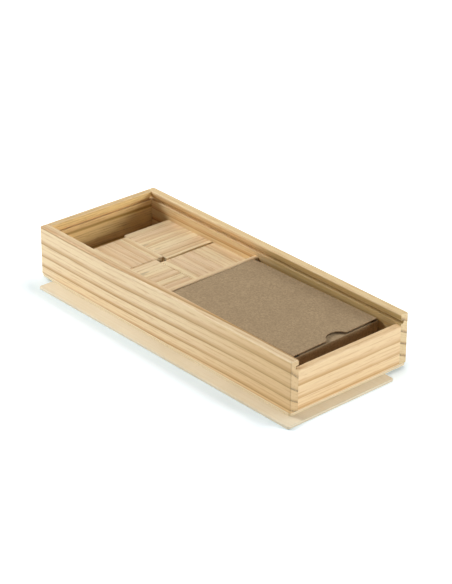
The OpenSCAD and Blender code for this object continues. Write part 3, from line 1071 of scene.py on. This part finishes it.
def make_tongue(kraft, place):
    """The tongue behind the upper fold, its inner corners round."""
    half = CARTON_WIDTH / 2 - TONGUE_SIDE_CUT
    reach = TONGUE_LENGTH + 2 * FOLD_GAP + BOARD / 2
    outline = [(HINGE_ALONG, -half), (HINGE_ALONG, half)]
    for side, first in ((1, 90), (-1, 180)):
        for k in range(FOLD_STEPS + 1):
            angle = math.radians(first + 90 * k / FOLD_STEPS)
            outline.append((HINGE_ALONG - reach + TONGUE_CORNER + TONGUE_CORNER * math.cos(angle),
                            side * (half - TONGUE_CORNER) + TONGUE_CORNER * math.sin(angle)))
    piece = card_sheet("carton_tuck_tongue", outline, lambda through, along, across: (
        along, across, FOLD_UP + through), place, kraft)
    stand_in(piece, "carton_tongue", "tongue")


def deck_tree(material):
    """Geometry nodes that stack cards a little out of line."""
    tree = Shaping("card_deck", ("Cards", "Seed"), (
        "Card Length", "Card Width", "Card Thickness", "Corner Radius", "Pitch", "Slip"))
    given = tree.given
    outline = tree.step("CurvePrimitiveQuadrilateral", {
        "Width": given["Card Length"], "Height": given["Card Width"]})
    outline = tree.step("FilletCurve", {
        "Curve": outline, "Radius": given["Corner Radius"], "Count": 4}, mode="POLY")
    face = tree.step("FillCurve", {"Curve": outline}, mode="NGONS")
    raised = tree.step("ExtrudeMesh", {
        "Mesh": face, "Offset Scale": given["Card Thickness"], "Individual": False})
    back = tree.step("FlipFaces", {"Mesh": face})
    both = tree.step("JoinGeometry", {"Geometry": [raised, back]})
    card = tree.step("MergeByDistance", {"Geometry": both, "Distance": 1e-6})
    rise = tree.vector(0.0, 0.0, given["Pitch"])
    line = tree.step("MeshLine", {"Count": given["Cards"], "Offset": rise})
    slip = tree.add("FunctionNodeRandomValue", {
        "Min": (-1.0, -1.0, 0.0), "Max": (1.0, 1.0, 0.0), "Seed": given["Seed"]},
        data_type="FLOAT_VECTOR")
    slip = tree.add("ShaderNodeVectorMath", {0: slip, "Scale": given["Slip"]}, operation="SCALE")
    places = tree.step("SetPosition", {"Geometry": line, "Offset": slip})
    stack = tree.step("InstanceOnPoints", {"Points": places, "Instance": card})
    whole = tree.step("RealizeInstances", {"Geometry": stack})
    return tree.close(tree.step("SetMaterial", {
        "Geometry": whole, "Material": material}))


def make_deck(place):
    """The pack of cards inside the carton."""
    length = PANEL_LENGTH - 2 * BOARD - 2 * CARD_PLAY
    width = CARTON_WIDTH - 2 * BOARD - 2 * CARD_PLAY
    cards = int(DECK_HEIGHT / CARD_THICKNESS)
    piece = new_piece("card_deck", bmesh.new())
    run_tree(piece, deck_tree(card_stock()), {"Cards": cards, "Seed": CARD_SEED}, {
        "Card Length": length - CARD_MARGIN, "Card Width": width - CARD_MARGIN,
        "Card Thickness": CARD_THICKNESS * CARD_SHARE, "Corner Radius": CARD_CORNER,
        "Pitch": DECK_HEIGHT / cards, "Slip": CARD_SLIP})
    start = Matrix.Translation((BOARD + CARD_PLAY + length / 2, 0, BOARD))
    scale_in, scale_out = Matrix.Scale(1 / MM, 4), Matrix.Scale(MM, 4)
    piece.data.transform(scale_out @ place @ start @ scale_in)
    stand_in(piece, "card_pack", "carton")


def make_carton():
    kraft = kraft_board("kraft_board")
    place = carton_place()
    make_sleeve(kraft, place)
    make_dust_flaps(kraft, place)
    make_closure(kraft, place)
    make_tongue(kraft, place)
    make_deck(place)


# -------- the studio

FLOOR_SIZE = 6.0       # metres
FLOOR_DROP = 0.02      # millimetres under the object, so that the two don't flicker
FLOOR_GLOW = 0.62      # how much whiter the open floor shows than it is lit
SHADOW_REACH = 22.0    # millimetres that the contact shadow goes out
SHADOW_TINT = (0.94, 0.99, 1.0, 1.0)
FRONT_NEAR = -0.052    # metres: nearer than this the floor lies before the box
FRONT_FAR = -0.03
WHITE_FROM = 0.35      # metres from the middle, where the floor starts to turn white
WHITE_AT = 1.0
SKY = 0.05             # light from all round
WHITE = (1, 1, 1, 1)


def floor_glow(paper):
    """How much the floor shows beyond its own light: little in the contact shadow, which is
    wide before the object and narrow elsewhere, and pure white far away."""
    openness = paper.add("ShaderNodeAmbientOcclusion", {"Distance": SHADOW_REACH * MM}, "AO",
                         samples=16)
    place = paper.add("ShaderNodeTexCoord", {}, "Object")
    ahead = paper.fall(paper.parts(place)[1], FRONT_NEAR, FRONT_FAR)
    narrow = paper.ramp(openness, 0.5, 0.92, 0.25, FLOOR_GLOW)
    wide = paper.ramp(openness, 0.76, 1.12, 0.0, FLOOR_GLOW)
    near = paper.total((wide, ahead), (narrow, paper.rest(ahead)))
    away = paper.add("ShaderNodeVectorMath", {0: place}, "Value", operation="LENGTH")
    return paper.either(near, paper.rise(away, WHITE_FROM, WHITE_AT))


def make_floor():
    """A white floor that keeps the object's shadow and is as white as the backdrop."""
    paper = Finish("white_floor")
    paper.feed(paper.shader, {
        "Base Color": tone(234, 245, 250), "Roughness": 0.9, "Specular IOR Level": 0.0})
    seen = paper.nodes.new("ShaderNodeLightPath").outputs
    direct = paper.either(
        seen["Is Camera Ray"], seen["Is Glossy Ray"], seen["Is Transmission Ray"])
    glow = paper.add("ShaderNodeEmission", {
        "Color": SHADOW_TINT, "Strength": paper.times(direct, floor_glow(paper))})
    both = paper.add("ShaderNodeAddShader", {0: paper.shader.outputs[0], 1: glow})
    paper.feed(paper.nodes["Material Output"], {"Surface": both})
    bm = bmesh.new()
    bmesh.ops.create_grid(bm, x_segments=1, y_segments=1, size=FLOOR_SIZE / 2 / MM)
    floor = new_piece("floor", bm, paper.material)
    floor.location.z = -FLOOR_DROP * MM


def make_backdrop():
    """A white backdrop to the eye, and a little light from all round."""
    world = bpy.data.worlds.new("studio")
    bpy.context.scene.world = world
    world.use_nodes = True
    studio = Nodes(world.node_tree)
    sky = studio.nodes["Background"]
    studio.feed(sky, {"Color": WHITE, "Strength": SKY})
    backdrop = studio.add("ShaderNodeBackground", {"Color": WHITE})
    seen = studio.nodes.new("ShaderNodeLightPath").outputs
    direct = studio.either(seen["Is Camera Ray"], seen["Is Transmission Ray"])
    mix = studio.add("ShaderNodeMixShader", {0: direct, 1: sky.outputs[0], 2: backdrop})
    studio.feed(studio.nodes["World Output"], {"Surface": mix})


def add_lamp(name, direction, watts, distance=1.6, width=0.6, height=0.6):
    """A soft round lamp that faces the box from a direction; sizes in metres."""
    lamp = bpy.data.lights.new(name, "AREA")
    lamp.shape = "ELLIPSE"
    lamp.size = width
    lamp.size_y = height
    lamp.energy = watts
    away = Vector(direction).normalized()
    holder = bpy.data.objects.new(name, lamp)
    holder.location = away * distance
    holder.rotation_euler = away.to_track_quat("Z", "Y").to_euler()
    holder.visible_camera = False
    bpy.context.scene.collection.objects.link(holder)


def make_light():
    """Soft lamps on both sides and low reflectors."""
    add_lamp("left_window", (-0.9, -0.35, 0.6), watts=20.0)
    add_lamp("ceiling_lamp", (0.05, 0.0, 1.0), watts=5.6)
    add_lamp("back_window", (0.15, 0.9, 0.9), watts=4.2)
    add_lamp("right_reflector", (0.9, 0.5, 0.21), watts=13.5, width=0.5, height=0.5)
    add_lamp("front_reflector", (-0.5, -0.45, 0.022), watts=1.4, distance=0.68, width=0.8,
             height=0.04)
    add_lamp("corner_reflector", (0.75, -0.66, 0.1), watts=2.4, height=0.3)


bpy.context.scene.view_settings.view_transform = "Standard"
make_camera()
make_front_board()
make_back_board()
make_closed_end()
make_entry_end()
make_divider()
make_bottom()
make_lid()
make_tiles()
make_carton()
make_floor()
make_backdrop()
make_light()
